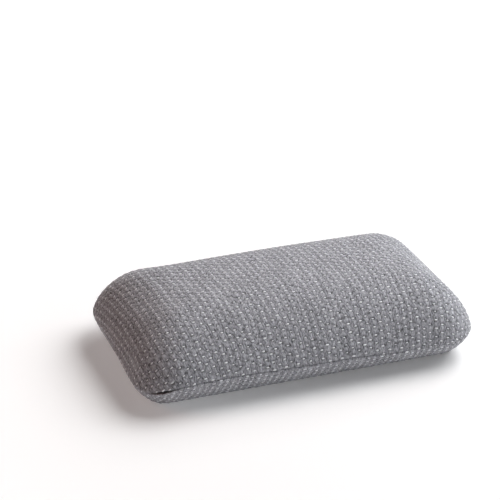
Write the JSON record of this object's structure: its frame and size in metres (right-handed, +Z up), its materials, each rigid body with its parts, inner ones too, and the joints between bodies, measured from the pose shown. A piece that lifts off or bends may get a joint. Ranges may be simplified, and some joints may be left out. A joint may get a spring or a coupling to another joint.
{
  "type": "camp pillow",
  "caption": "Rounded memory-foam travel pillow in a dotted knitted cover, with a concealed zip along the lower edge of one long side.",
  "frame": {"origin": "middle of the flat underside, on the surface the pillow lies on", "axes": "+X along the pillow's length, away from the closed slider's end; +Y across it, from the zipped long side to the back; +Z up"},
  "size_m": [0.4058, 0.2398, 0.1],
  "materials": {
    "knit_cover": "melange grey jacquard knit with small white dots",
    "seam_thread": "matte overlocked seam",
    "liner_jersey": "plain off-white jersey",
    "memory_foam": "fine open-cell foam",
    "zip_tape": "matte woven tape",
    "zip_coil": "satin nylon",
    "slider_metal": "satin gunmetal",
    "label_satin": "blank woven satin"
  },
  "bodies": {
    "pillow": {"cover_upper": "knit_cover", "cover_base": "knit_cover", "perimeter_seam": "seam_thread", "core_liner": "liner_jersey", "foam_core": "memory_foam", "zip_tape_upper": "zip_tape", "zip_tape_lower": "zip_tape", "zip_coil_upper": "zip_coil", "zip_coil_lower": "zip_coil", "zip_top_stop_upper": "zip_coil", "zip_top_stop_lower": "zip_coil", "zip_bottom_stop": "zip_coil", "care_label": "label_satin"},
    "slider": {"slider_body": "slider_metal"},
    "pull": {"slider_pull": "slider_metal"}
  },
  "joints": [
    {"name": "zip_slide", "type": "slide", "parent": "pillow", "child": "slider", "axis": [1, 0, 0], "range_m": [0, 0.261]},
    {"name": "pull_swing", "type": "hinge", "parent": "slider", "child": "pull", "pos_m": [-0.1447, -0.1148, 0.037], "axis": [0, 0, 1], "range_deg": [0, 180]}
  ]
}
